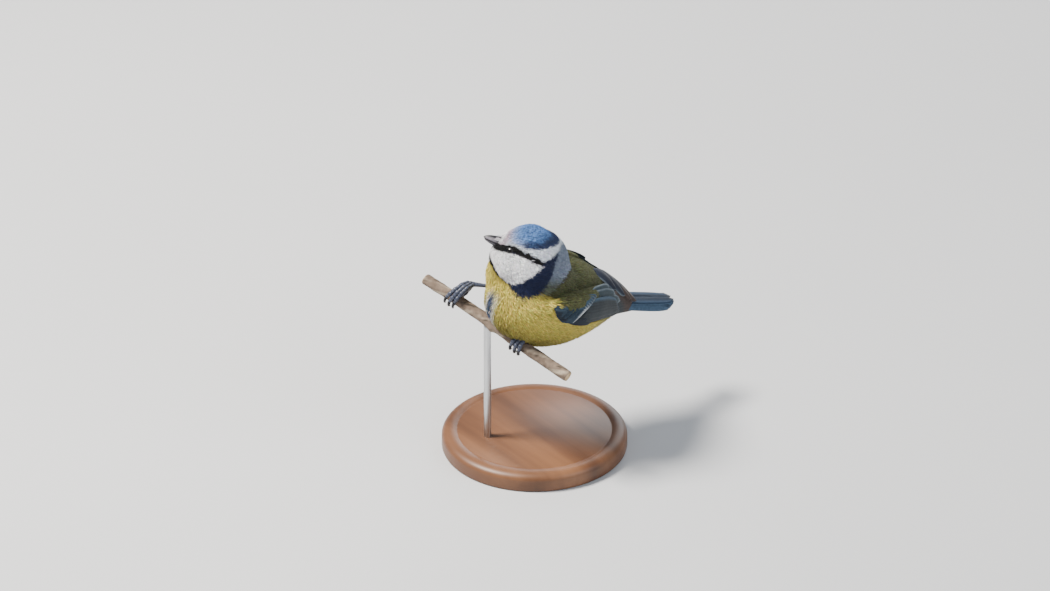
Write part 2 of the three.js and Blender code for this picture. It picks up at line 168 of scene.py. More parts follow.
def ease(low, high, x):
    t = np.clip((x - low) / (high - low), 0, 1)
    return t * t * (3 - 2 * t)


def grid(rows, columns):
    return np.meshgrid(rows, columns, indexing="ij")


def full_turn(count):
    return np.linspace(0, 2 * np.pi, count, endpoint=False)


# The wing surface, as the CAD has it: place y along the trunk, across -1 at the lower edge to 1 at the back
wing_lower = ([(-6, 17.5), (9, 20.0), (22, 17.4), (35, 12.6), (48, 8.0), (60, 3.6)],
              [(-6, 4), (9, 2.0), (22, 0.2), (35, -1.4), (48, -2.6), (60, -3.4)])
wing_upper = ([(-6, 13.5), (9, 14.0), (22, 10.5), (30, 7.6), (45, 3.4), (60, 1.4)],
              [(-6, 12.5), (9, 15.2), (22, 15.2), (30, 13.4), (45, 7.0), (60, 0.2)])
wing_thickness = [(-6, 2.6), (9, 3.4), (22, 3.2), (35, 2.6), (48, 1.8), (60, 1.1)]
wing_bulge = [(-6, 2.0), (9, 2.6), (22, 2.2), (35, 1.6), (48, 0.8), (60, 0.3)]
WING_TIP = 60.0
WING_CARRIED = {1: 0.0, -1: 2.4}  # the right wing is carried higher


def wing_section(side, y):
    """Middle, half span and outward direction (x and z) of the wing at y, in the trunk's frame."""
    lift = WING_CARRIED[side] * (1 - (np.maximum(0, y) / WING_TIP) ** 2)
    low = np.stack([between(wing_lower[0], y), between(wing_lower[1], y) + lift], -1)
    high = np.stack([between(wing_upper[0], y), between(wing_upper[1], y) + lift], -1)
    span = (high - low) / 2
    out = np.stack([span[..., 1], -span[..., 0]], -1)
    return (low + high) / 2, span, out / np.linalg.norm(out, axis=-1, keepdims=True)


def shoulder(y, across):
    """1 where the olive shoulder feathers lie over the wing, 0 on the rest of it."""
    edge = between([(-6, -0.2), (4.8, -0.06), (11.4, 0.33), (19.1, 0.62), (23, 1.0), (60, 2.2)], y)
    return ease(-0.08, 0.10, across - edge)


def make_mesh(name, points_mm, faces):
    """A smooth closed mesh with every face pointing out."""
    mesh = bpy.data.meshes.new(name)
    mesh.from_pydata((np.asarray(points_mm) * MM).tolist(), [], [tuple(int(i) for i in f) for f in faces])
    mesh.shade_smooth()
    bm = bmesh.new()
    bm.from_mesh(mesh)
    bmesh.ops.recalc_face_normals(bm, faces=bm.faces)
    bm.to_mesh(mesh)
    bm.free()
    return mesh


def place_piece(name, mesh, material, nodes=()):
    piece = bpy.data.objects.new(name, mesh)
    bpy.context.scene.collection.objects.link(piece)
    mesh.materials.append(material)
    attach(piece, "root")
    if nodes:
        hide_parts(*nodes)
    return piece


def tube_mesh(rings):
    """Points and faces of a closed body through rings of points, shape (rings, around, 3)."""
    n, m = rings.shape[:2]
    points = np.concatenate([rings.reshape(-1, 3), rings[:1].mean(1), rings[-1:].mean(1)])
    i, j = grid(np.arange(n - 1), np.arange(m))
    a, b = (i * m + j).ravel(), (i * m + (j + 1) % m).ravel()
    faces = [tuple(f) for f in np.stack([a, b, b + m, a + m], -1)]
    faces += [(n * m, (q + 1) % m, q) for q in range(m)]
    faces += [(n * m + 1, (n - 1) * m + q, (n - 1) * m + (q + 1) % m) for q in range(m)]
    return points, faces


def remeshed(name, meshes, voxel_mm):
    """One closed mesh round several closed ones."""
    bm = bmesh.new()
    for mesh in meshes:
        bm.from_mesh(mesh)
    joint_mesh = bpy.data.meshes.new(name)
    bm.to_mesh(joint_mesh)
    bm.free()
    shell = bpy.data.objects.new(name, joint_mesh)
    bpy.context.scene.collection.objects.link(shell)
    remesh = shell.modifiers.new("remesh", "REMESH")
    remesh.mode, remesh.voxel_size, remesh.use_smooth_shade = "VOXEL", voxel_mm * MM, True
    graph = bpy.context.evaluated_depsgraph_get()
    result = bpy.data.meshes.new_from_object(shell.evaluated_get(graph))
    bpy.data.objects.remove(shell)
    return result


def read(items, what, width, kind=np.float32):
    """One property of a mesh's items, in rows of width numbers."""
    values = np.empty(len(items) * width, kind)
    items.foreach_get(what, values)
    return values.reshape(-1, width)


def positions(mesh):
    return read(mesh.vertices, "co", 3).astype(float) / MM


def vertex_normals(mesh):
    return read(mesh.vertex_normals, "vector", 3).astype(float)


def move_to(mesh, points_mm):
    mesh.vertices.foreach_set("co", (points_mm * MM).astype(np.float32).ravel())
    mesh.update()


def smoothed(mesh, rounds, share=0.5):
    a, b = read(mesh.edges, "vertices", 2, np.int32).T
    p = positions(mesh)
    n = len(p)
    count = np.bincount(a, minlength=n) + np.bincount(b, minlength=n)
    for _ in range(rounds):
        total = np.stack([np.bincount(a, p[b, k], n) + np.bincount(b, p[a, k], n) for k in range(3)], -1)
        p += share * (total / np.maximum(count, 1)[:, None] - p)
    move_to(mesh, p)


BILL_ROOT = np.array([0.0, -13.4, -0.6])  # in the head's frame
EYE_PLACE = np.array([7.3, -7.2, 1.7])
GAP_FILL = 0.25


def face_distance(p):
    return np.linalg.norm(in_head(p) - BILL_ROOT, axis=1)


def coat_depth(p):
    """How far the skin lies under the feather tips, in mm."""
    return 0.35 + 0.75 * ease(2.0, 16.0, face_distance(p))


flesh = []
for node in ("head", "neck", "trunk"):
    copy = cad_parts[node].data.copy()
    bm = bmesh.new()
    bm.from_mesh(copy)
    bmesh.ops.remove_doubles(bm, verts=bm.verts, dist=1e-6)
    bm.to_mesh(copy)
    bm.free()
    move_to(copy, positions(copy) + GAP_FILL * vertex_normals(copy))
    flesh.append(copy)
body = remeshed("body", flesh, 0.75)
smoothed(body, 10)
p = positions(body)
move_to(body, p - coat_depth(p)[:, None] * vertex_normals(body))
cores = [body]
for side in (1, -1):
    y, a = grid(np.linspace(-5.0, 40.0, 24), full_turn(20))
    shut = np.sqrt(np.clip(1 - ((y - 17.5) / 23.5) ** 4, 0.02, 1))
    c, s = np.cos(a), np.sin(a)
    middle, span, out = wing_section(side, y)
    thick = np.where(s > 0, between(wing_thickness, y) / 2 - 0.7 + 1.9 * shoulder(y, c), 3.5)
    high = shut * (thick * s + between(wing_bulge, y) * (1 - c ** 2))
    q = middle + span * (c * 0.93 * shut)[..., None] + out * high[..., None]
    core = make_mesh("core", *tube_mesh(from_trunk(np.stack([side * q[..., 0], y, q[..., 1]], -1))))
    cores.append(core)
skin_mesh = remeshed("skin", cores, 0.6)
smoothed(skin_mesh, 3)
skin_points = positions(skin_mesh)

# The markings, painted on skin and feathers alike. On the head they are curves of height
# against the turn away from the bill, both in degrees about the head's centre.
def linear(r, g, b):
    c = np.array([r, g, b]) / 255.0
    return np.where(c <= 0.04045, c / 12.92, ((c + 0.055) / 1.055) ** 2.4)


CAP_BRIGHT, CAP_DARK, CAP_PALE = linear(98, 140, 202), linear(34, 46, 80), linear(160, 176, 214)
FOREHEAD, BROW, CHEEK = linear(186, 170, 184), linear(222, 228, 240), linear(246, 247, 252)
STRIPE, COLLAR, NAPE = linear(5, 4, 8), linear(24, 33, 64), linear(126, 136, 154)
NAPE_LOW, MANTLE, RUMP = linear(94, 100, 86), linear(82, 84, 52), linear(100, 106, 70)
# The belly colour is the breast's yellow darkened, as painted shade.
BREAST, BELLY_SHADE, VENT = linear(210, 192, 92), linear(118, 108, 48), linear(156, 148, 98)
BELLY_MARK, BELLY_PALE = linear(58, 70, 96), linear(226, 226, 220)
cap_low = [(0, 33), (20, 27), (41, 23), (60, 26), (78, 35), (108, 43), (145, 51), (180, 51)]
brow_low = [(0, 2), (18, 4.5), (31, 13), (50, 24), (67, 25), (87, 26), (103, 24), (115, 22), (128, 28),
            (146, 38), (180, 48)]
stripe_low = [(0, -8), (18, -7), (35, 0), (53, 8), (70, 13), (88, 14), (104, 13), (180, 13)]
cheek_low = [(0, -16), (10, -20), (29, -26), (38, -34), (51, -42), (65, -46), (75, -45), (82, -40),
             (180, -40)]
cheek_back = [(-90, 50), (-45, 65), (-40, 82), (-25, 94), (-8, 105), (4, 111), (14, 117), (90, 117)]
collar_low = [(0, -34), (19, -32), (39, -41), (58, -47), (81, -50), (101, -47), (113, -41), (123, -34),
              (129, -25), (180, -20)]
collar_back = [(-90, 120), (-24, 129), (-12, 133), (2, 135), (18, 137), (37, 151), (46, 170), (52, 200)]
nape_low = [(100, -34), (129, -29), (138, -25), (146, -16), (156, -6), (172, 3), (180, 5)]
EDGE = 1.6  # half the width of a soft edge on the head, in degrees


def blend(under, over, amount):
    return under * (1 - amount[:, None]) + over * amount[:, None]


def markings(p, ragged=0.0, seed=1):
    """Colour of the plumage at points, in linear red, green and blue. ragged roughens the edges, in mm."""
    rng = np.random.default_rng(seed)
    if ragged:
        p = p + rng.normal(0, ragged, p.shape)
    h = in_head(p)
    r = np.linalg.norm(h, axis=1)
    lon = np.degrees(np.arctan2(np.abs(h[:, 0]), -h[:, 1]))
    lat = np.degrees(np.arcsin(np.clip(h[:, 2] / r, -1, 1)))
    # The head is turned to the right, so the collar on that side is drawn forward over the shoulder
    right_side = ease(-3, -9, h[:, 0])
    lon = lon + 32 * np.sin(np.radians(lon)) * right_side * ease(20, 5, lat)
    over = lambda curve: lat - between(curve, lon)
    above = lambda curve: ease(-EDGE, EDGE, over(curve))
    beyond = lambda curve: ease(-EDGE, EDGE, lon - between(curve, lat))
    # Trunk: yellow below, darkening downwards into painted shade on the belly, olive above, a dark line down
    # the middle of the belly between pale edges
    x, y, z = in_trunk(p).T
    # The breast's yellow darkens towards the lower belly: painted shade.
    color = blend(BREAST, BELLY_SHADE, ease(4, -14, z + 0.1 * y))
    color = blend(color, VENT, ease(20, 36, y) * ease(6, -2, z))
    middle = np.abs(x + 2.9 + 0.02 * y)
    low = ease(5, 0, z) * ease(26, 16, y)
    color = blend(color, BELLY_PALE, ease(4.2, 2.4, middle) * low * 0.7)
    color = blend(color, BELLY_MARK, ease(2.1, 1.1, middle) * low)
    back = ease(-1.2, 1.2, z - between([(-20, 16), (-8, 12.5), (4, 7.5), (16, 8.5), (30, 6), (50, 2)], y))
    color = blend(color, blend(MANTLE, RUMP, ease(26, 34, y)), back)
    # Forehead and brow under a blue cap that pales and breaks up towards its front edge
    brow = blend(BROW, FOREHEAD, ease(40, 20, lon) * ease(60, 40, lat))
    nostril = np.linalg.norm(h - BILL_ROOT - np.array([0, 0.6, 1.4]), axis=1)
    brow = blend(brow, CHEEK, 0.8 * (ease(4.6, 3.2, nostril) * ease(-0.4, 0.4, h[:, 2])))
    cap = blend(CAP_BRIGHT, CAP_DARK, ease(70, 150, lon) * ease(86, 60, lat))
    streak = 0.5 + 0.5 * np.sin(1.9 * h[:, 0] + 0.9 * h[:, 1] + 2.6 * np.sin(0.8 * h[:, 0] - 0.5 * h[:, 1]))
    # Painted shade: the lower rear of the cap darkened towards the dark cap colour, mixed with the cap's own
    # fine dark streaks.
    low_cap_shade = ease(26, 4, over(cap_low)) * ease(44, 62, lon)
    cap = blend(cap, CAP_DARK, np.clip(0.22 * streak + low_cap_shade * (0.8 + 0.3 * streak), 0, 1))
    forward = ease(76, 46, lon)
    cap = blend(cap, CAP_PALE, 0.75 * forward * ease(24, 2, over(cap_low)))
    soft = 1.6 + 7.0 * forward
    mottle = 5.0 * forward * np.sin(3.1 * h[:, 0] + 1.3) * np.sin(2.7 * h[:, 1] + 2.1 * h[:, 2])
    head = blend(STRIPE, brow, above(brow_low))
    head = blend(head, cap, ease(-soft, soft, over(cap_low) + mottle) * ease(1, 7, over(brow_low)))
    # Collar, nape and cheek, all below the eye stripe
    collar = blend(STRIPE, COLLAR, ease(30, 70, lon))
    ripples = 0.78 + 0.34 * np.sin(2.3 * h[:, 2] + 1.7 * np.sin(1.4 * h[:, 0]))[:, None] ** 2
    collar = blend(collar, blend(NAPE_LOW, NAPE, ease(-20, 4, lat)) * ripples, beyond(collar_back))
    under_stripe = ease(EDGE, -EDGE, over(stripe_low))
    cheek = under_stripe * (1 - beyond(cheek_back)) * ease(-EDGE, EDGE, over(cheek_low) - 10 * right_side)
    cheek = cheek * (1 - ease(6, 3, lon) * ease(-2, -10, lat))
    behind = beyond([(-90, 0), (12, 0), (14, 112), (90, 112)])
    head = blend(head, collar, np.maximum(ease(EDGE, -EDGE, over(brow_low)) * behind, under_stripe))
    head = blend(head, CHEEK, cheek)
    # Painted shadow: the trunk's colour darkened just below the back edge of the nape patch, where the nape
    # feathers would shade it.
    painted_ruff_shadow = ease(8, 0, -over(nape_low)) * ease(110, 135, lon) * ease(27, 22, r)
    color = color * (1 - 0.55 * painted_ruff_shadow[:, None])
    low_edge = np.where(lon > between(collar_back, lat), between(nape_low, lon), between(collar_low, lon))
    limit = 21.5 - 3.7 * ease(0, -5, h[:, 0])
    return blend(color, head, ease(-EDGE, EDGE, lat - low_edge) * ease(limit + 2.5, limit, r))


def paint(mesh, colors):
    attribute = mesh.color_attributes.new("paint", "FLOAT_COLOR", "POINT")
    rgba = np.ones((len(mesh.vertices), 4), np.float32)
    rgba[:, :3] = np.clip(colors, 0, 1)
    attribute.data.foreach_set("color", rgba.ravel())


def painted(name, roughness, specular, grain, stops, bump=None):
    """A mottled material whose stops lighten and darken the piece's own paint."""
    material, tree, shader = mottled(name, roughness, specular, grain, stops, bump)
    base = shader.inputs["Base Color"]
    attribute = tree.nodes.new("ShaderNodeAttribute")
    attribute.attribute_name = "paint"
    mix = tree.nodes.new("ShaderNodeMix")
    mix.data_type, mix.blend_type = "RGBA", "MULTIPLY"
    mix.inputs["Factor"].default_value = 1.0
    tree.links.new(attribute.outputs["Color"], mix.inputs["A"])
    tree.links.new(base.links[0].from_socket, mix.inputs["B"])
    tree.links.new(mix.outputs["Result"], base)
    return material, tree, shader


# The skin takes the markings at 0.55 of their brightness: painted shade under the coat.
paint(skin_mesh, markings(skin_points) * 0.55)
feather_stops = [(0.3, (0.78, 0.78, 0.78)), (0.7, (1.12, 1.12, 1.12))]
feather_paint, tree, shader = painted("feather_paint", 0.72, 0.18, (900.0, 3.0), feather_stops)
shader.inputs["Sheen Weight"].default_value = 0.05
shader.inputs["Sheen Roughness"].default_value = 0.4
bump_node(tree, shader, noise_node(tree, 2600.0, 2.0), 0.0001, 0.6)
skin_mesh.shade_smooth()
skin_nodes = ("head", "neck", "trunk", "wing_left", "wing_right")
skin = place_piece("skin", skin_mesh, feather_paint, skin_nodes)
bpy.context.view_layer.objects.active = skin
skin.select_set(True)
skin_mesh.uv_layers.new(name="OFBake")
bpy.ops.object.mode_set(mode="EDIT")
bpy.ops.mesh.select_all(action="SELECT")
bpy.ops.uv.smart_project(angle_limit=1.15, island_margin=0.004)
bpy.ops.object.mode_set(mode="OBJECT")
skin.select_set(False)

# The soft feathers of head, neck, breast, belly and back: small three-sided vanes, each with a ridge along
# its shaft. They overlap like tiles and lie away from the bill, down over the breast and back to the tail.
skin_mesh.calc_loop_triangles()
tris = read(skin_mesh.loop_triangles, "vertices", 3, np.int32)
tri_loops = read(skin_mesh.loop_triangles, "loops", 3, np.int32)
skin_uv = read(skin_mesh.uv_layers["OFBake"].data, "uv", 2)
skin_normals = vertex_normals(skin_mesh)
corner = skin_points[tris]
tri_area = np.linalg.norm(np.cross(corner[:, 1] - corner[:, 0], corner[:, 2] - corner[:, 0]), axis=1) / 2
tri_middle = corner.mean(1)
surface = BVHTree.FromPolygons([Vector(v) for v in skin_points], tris.tolist())


def unit(v):
    return v / np.maximum(np.linalg.norm(v, axis=-1, keepdims=True), 1e-9)


def on_surface(p):
    """The nearest points of the skin."""
    out = np.empty_like(p)
    for i, v in enumerate(p):
        out[i] = surface.find_nearest(Vector(v))[0]
    return out


def lie(p, n):
    """The direction the feathers lie in, along the skin."""
    from_bill = unit(p - from_head(BILL_ROOT + np.array([0, -3.0, 0])))
    from_throat = unit(p - from_trunk(np.array([-3.0, -20.0, 15.0])))
    rear = trunk_turn @ np.array([0.0, 1.0, -0.12])
    on_head = ease(22.0, 15.0, np.linalg.norm(p - head_centre, axis=1))[:, None]
    flow = from_bill * on_head + (0.65 * from_throat + 0.75 * rear) * (1 - on_head)
    flow = flow - n * (flow * n).sum(1, keepdims=True)
    return unit(flow)


def bake_map(mesh, uv):
    mesh.uv_layers.new(name="OFBake").data.foreach_set("uv", uv.astype(np.float32).ravel())


# One feather: three rows of left edge, ridge and right edge, then the tip
ROWS, ROW_WIDTHS = (0.0, 0.42, 0.78), (0.55, 1.0, 0.72)
ACROSS = np.array([-1, 0, 1] * 3 + [0.0])
ALONG = np.append(np.repeat(ROWS, 3), 1.0)
QUADS = [[0, 1, 4, 3], [1, 2, 5, 4], [2, 0, 3, 5], [3, 4, 7, 6], [4, 5, 8, 7], [5, 3, 6, 8]]
THREES = [[0, 2, 1], [6, 7, 9], [7, 8, 9], [8, 6, 9]]
PATCH = 0.0015  # half the breadth of a feather's patch on the bake map


def coat(name, count, seed, density, size_of, ragged, shades, vary, keep=None):
    """Feathers rooted on the skin. density weighs the roots, size_of gives length, width, lift and sway
    in mm, shades the light at root and tip, vary how much the feathers differ in colour."""
    rng = np.random.default_rng(seed)
    weight = tri_area * density(tri_middle)
    pick = rng.choice(len(tris), count, p=weight / weight.sum())
    a, b = rng.random((2, count))
    flip = a + b > 1
    a[flip], b[flip] = 1 - a[flip], 1 - b[flip]
    w = np.stack([1 - a - b, a, b], -1)[..., None]
    root = (skin_points[tris[pick]] * w).sum(1)
    normal = unit((skin_normals[tris[pick]] * w).sum(1))
    uv = (skin_uv[tri_loops[pick]] * w).sum(1)
    if keep is not None:
        kept = keep(root)
        root, normal, uv = root[kept], normal[kept], uv[kept]
        count = len(root)
    flow = lie(root, normal)
    length, width, lift, sway = size_of(root)
    flow = unit(flow + np.cross(normal, flow) * (rng.normal(0, 1, count) * sway)[:, None])
    side = np.cross(normal, flow)
    length = length * rng.uniform(0.8, 1.2, count)
    width = width * rng.uniform(0.8, 1.2, count)
    lift = lift * rng.uniform(0.5, 1.4, count)
    middle = on_surface(root + flow * (0.5 * length)[:, None]) + normal * (0.55 * lift + 0.05)[:, None]
    end = on_surface(root + flow * length[:, None]) + normal * lift[:, None]
    start = root - normal * 0.12
    bend = 2 * middle - 0.5 * (start + end)
    rows = []
    for t, row_width in zip(ROWS, ROW_WIDTHS):
        c = start * (1 - t) ** 2 + bend * 2 * t * (1 - t) + end * t * t
        half_width = (0.5 * row_width * width)[:, None]
        rows += [c - side * half_width, c + normal * half_width * 0.45, c + side * half_width]
    points = np.stack(rows + [end], 1)
    local = np.concatenate([np.ravel(QUADS), np.ravel(THREES)])
    loops = local + 10 * np.arange(count)[:, None]
    sizes = np.tile([4] * 6 + [3] * 4, count)
    mesh = bpy.data.meshes.new(name)
    mesh.vertices.add(count * 10)
    mesh.vertices.foreach_set("co", (points * MM).astype(np.float32).ravel())
    mesh.loops.add(loops.size)
    mesh.loops.foreach_set("vertex_index", loops.astype(np.int32).ravel())
    mesh.polygons.add(len(sizes))
    mesh.polygons.foreach_set("loop_start", (np.cumsum(sizes) - sizes).astype(np.int32))
    mesh.update(calc_edges=True)
    mesh.shade_smooth()
    bake_map(mesh, np.stack([ACROSS[local], ALONG[local] * 2 - 1], -1) * PATCH + uv[:, None, :])
    color = markings(root, ragged, seed) * np.exp(rng.normal(0, vary, count))[:, None]
    color = color * np.exp(rng.normal(0, vary * 0.35, (count, 3)))
    light = shades[0] + (shades[1] - shades[0]) * ALONG
    paint(mesh, (color[:, None, :] * light[None, :, None]).reshape(-1, 3))
    place_piece(name, mesh, feather_paint)


def eye_distance(p):
    h = in_head(p)
    return np.minimum(*[np.linalg.norm(h - EYE_PLACE * np.array([s, 1, 1]), axis=1) for s in (1, -1)])


EYE_BARE = 2.45  # no feather is rooted nearer to an eye's middle than this
HEAD_EDGE = (17.5, 15.5)  # from the head's centre, where the feathers of the head thin out and are all there


def clear_of_eye(p):
    h = in_head(p)
    bill = (np.abs(h[:, 0]) < 1.7) & (h[:, 1] < -12.2) & (np.abs(h[:, 2] + 0.6) < 2.2)
    return (eye_distance(p) > EYE_BARE) & ~bill


def from_head_centre(p):
    return np.linalg.norm(p - head_centre, axis=1)


def head_sizes(p):
    near = ease(1.0, 16.0, face_distance(p))
    length = np.minimum(0.85 + 1.5 * near, np.maximum(0.45, 0.6 * (eye_distance(p) - 1.6)))
    return length, 0.17 + 0.15 * near, 0.16 + 0.42 * near, 0.16


head_share = lambda p: ease(*HEAD_EDGE, from_head_centre(p))
head_weight = lambda p: head_share(p) * (1 + 1.6 * ease(12, 3, face_distance(p)))
for name, seed, rear in (("coat_head_front", 11, False), ("coat_head_rear", 12, True)):
    weight_here = lambda p: head_weight(p) * ((in_head(p)[:, 1] >= -2.0) == rear)
    coat(name, 12000, seed, weight_here, head_sizes, 0.16, (0.72, 1.12), 0.10, clear_of_eye)


def wing_front(across):
    """Where the breast feathers end and the covert feathers show, as y on the wing."""
    return between([(-1.0, 5.5), (-0.56, -1.4), (0.0, -4.5), (1.0, -6.0)], across)


def bare(p):
    """0 where the flight feathers hide the skin, 1 elsewhere."""
    t = in_trunk(p)
    # Under the right wing's inner feathers, which cross the rump
    u, v = 0.55 * t[:, 0] + 0.83 * t[:, 1], 0.83 * t[:, 0] - 0.55 * t[:, 1]
    hidden = (t[:, 2] > 2) & (v > -28) & (v < -10.5) & (u > 25.0) & (u < 19.0 - 1.1 * v)
    for s in (1, -1):
        y = t[:, 1]
        middle, span, out = wing_section(s, y)
        off = np.stack([s * t[:, 0], t[:, 2]], -1) - middle
        across, high = (off * span).sum(-1) / (span ** 2).sum(-1), (off * out).sum(-1)
        near = (t[:, 0] * s > 0) & (high > -3.2) & (np.abs(across) < 0.9) & (y < WING_TIP)
        hidden = hidden | (near & (y > wing_front(across) + 1.0) & (shoulder(y, across) < 0.4))
    return 1.0 - hidden


def body_sizes(p):
    t = in_trunk(p)
    far = ease(15.0, 26.0, from_head_centre(p))
    back = ease(4.0, 10.0, t[:, 2]) * ease(-8, 2, t[:, 1])
    fringe = ease(-12.0, -17.0, t[:, 2])
    lift = 0.80 + 0.30 * far - 0.30 * back + 0.3 * fringe
    return 2.5 + 1.7 * far + 1.2 * fringe, 0.26 + 0.06 * far + 0.16 * back, lift, 0.20 - 0.1 * back


TRUNK_FROM, NECK_TO = 26, 30  # from the head's centre; neck and trunk feathers mix between the two
neck_weight = lambda p: (1 - head_share(p)) * ease(NECK_TO, TRUNK_FROM, from_head_centre(p)) * bare(p)
trunk_weight = lambda p: ease(TRUNK_FROM, NECK_TO, from_head_centre(p)) * bare(p)
left = lambda p: in_trunk(p)[:, 0] > 0.0
lower = lambda p: in_trunk(p)[:, 2] < 3.0
front = lambda p: in_trunk(p)[:, 1] < 4.0
for name, slot, count, seed, vary, weight_here in (
    ("coat_neck_left", "collar_feathers", 9000, 21, 0.22, lambda p: neck_weight(p) * left(p)),
    ("coat_neck_right", "collar_feathers", 9000, 22, 0.22, lambda p: neck_weight(p) * ~left(p)),
    ("coat_breast", "body_feathers", 12000, 23, 0.16, lambda p: trunk_weight(p) * lower(p) * front(p)),
    ("coat_belly", "body_feathers", 12000, 24, 0.16, lambda p: trunk_weight(p) * lower(p) * ~front(p)),
    ("coat_back", "body_feathers", 12000, 25, 0.16, lambda p: trunk_weight(p) * ~lower(p)),
):
    coat(name, count, seed, weight_here, body_sizes, 0.3, (0.55, 1.2), vary)

# The wings: stiff vanes with a shaft, laid in rows over the folded wing. Coverts in front, a bar of
# white covert tips, then secondaries and three broad tertials over the long primaries.
WING_DARK, WING_EDGE, WING_TEAL = linear(46, 52, 56), linear(112, 132, 140), linear(66, 85, 101)
COVERT, COVERT_DARK, WING_WHITE = linear(45, 60, 73), linear(32, 40, 50), linear(222, 226, 230)
TERTIAL, TERTIAL_EDGE = linear(54, 66, 72), linear(112, 124, 132)
BROWN_TIP, FAR_DARK = linear(70, 58, 54), linear(34, 40, 54)


class Feathers:
    """Gathers long feathers into one mesh, each with its own strip of the bake map."""

    def __init__(self):
        self.points, self.faces, self.colors, self.uv, self.count = [], [], [], [], 0

    def add(self, line, up_dir, width, color_of, hand=1, skew=0.0, camber=0.12, thickness=0.14):
        """line (n, 3) is the shaft, width (n) the breadth, up_dir the way the vane's upper face looks."""
        up_dir = np.broadcast_to(up_dir, line.shape)
        across_dir = unit(np.cross(unit(np.gradient(line, axis=0)), up_dir)) * hand
        k, n = np.linspace(-1, 1, 7), len(line)
        off = k * width[:, None] / 2 + skew * width[:, None] / 2
        high = -camber * width[:, None] * k ** 2 + 0.10 * np.exp(-(k / 0.14) ** 2)
        top = line[:, None] + across_dir[:, None] * off[..., None] + up_dir[:, None] * high[..., None]
        bottom = top - up_dir[:, None] * (thickness * (1 - 0.75 * np.abs(k)))[None, :, None]
        t = np.arange(n * 7).reshape(n, 7) + self.count
        b = t + n * 7
        quads = np.stack([t[:-1, :-1], t[1:, :-1], t[1:, 1:], t[:-1, 1:]], -1).reshape(-1, 4)
        under = np.stack([b[:-1, :-1], b[:-1, 1:], b[1:, 1:], b[1:, :-1]], -1).reshape(-1, 4)
        rim = np.concatenate([t[:, 0], t[-1, 1:], t[-2::-1, -1], t[0, -2:0:-1]])
        rim_low = rim + n * 7
        wall = np.stack([rim, rim_low, np.roll(rim_low, -1), np.roll(rim, -1)], -1)
        a, kk = grid(np.linspace(0, 1, n), k)
        color = color_of(a.ravel(), kk.ravel())
        self.points += [top.reshape(-1, 3), bottom.reshape(-1, 3)]
        self.faces += [quads, under, wall]
        # The under face of each vane takes its colour at 0.7: painted shade.
        self.colors += [color, color * 0.7]
        self.uv += [np.stack([a.ravel(), kk.ravel()], -1)] * 2
        self.count += 2 * n * 7

    def place(self, name, slot, nodes=()):
        mesh = make_mesh(name, np.concatenate(self.points), np.concatenate(self.faces))
        paint(mesh, np.concatenate(self.colors))
        many = len(self.points) // 2
        columns = int(np.ceil(np.sqrt(many * 4)))
        rows = int(np.ceil(many / columns))
        which = np.repeat(np.arange(len(self.points)), [len(p) for p in self.points]) // 2
        along, across = np.concatenate(self.uv).T
        u = (which % columns + 0.5 + 0.45 * across) / columns
        v = (which // columns + 0.05 + 0.9 * along) / rows
        bake_map(mesh, np.stack([u, v], -1)[read(mesh.loops, "vertex_index", 1, np.int32)[:, 0]])
        place_piece(name, mesh, feather_paint, nodes)


def outline(along, width, blunt=0.5):
    """Breadth of a vane along its length, narrow at its root and rounded at its tip."""
    grow = 0.45 + 0.55 * ease(0, 0.25, along)
    return width * grow * np.clip(1 - along ** 7, 0.0, 1) ** blunt + 0.06


def wing_point(side, y, across, lift):
    """A point on the wing's outer face, raised off it by lift."""
    middle, span, out = wing_section(side, y)
    c = np.clip(across, -1, 1)[..., None]
    high = between(wing_thickness, y)[..., None] / 2 * np.sqrt(1 - c ** 2)
    high = high + between(wing_bulge, y)[..., None] * (1 - c ** 2) + lift[..., None]
    p = middle + span * across[..., None] + out * high
    return from_trunk(np.stack([side * p[..., 0], y, p[..., 1]], -1))


def edged(inner, edge, share=0.55, tip=None, tip_from=0.88, seed=0, edge_side=-1):
    """A vane of one colour with another on its outer edge and perhaps on its tip. edge_side is the side of
    the vane with the edge, -1 towards the wing's lower edge."""
    wobble = np.random.default_rng(seed).normal(0, 0.05)

    def color(along, k):
        c = blend(inner, edge, ease(share + wobble - 0.15, share + wobble + 0.15, k * edge_side))
        if tip is not None:
            c = blend(c, tip, ease(tip_from - 0.08, tip_from + 0.04, along))
        return c * (0.92 - 0.16 * np.exp(-(k / 0.12) ** 2))[:, None]

    return color


def back_surface(flat):
    """Height of the back between the wings over points x, y of the trunk's frame."""
    ridge = between([(10, 19.0), (25, 17.0), (34, 14.4), (45, 9.4), (55, 4.8), (62, 2.8)], flat[:, 1])
    return ridge - 0.02 * flat[:, 0] ** 2


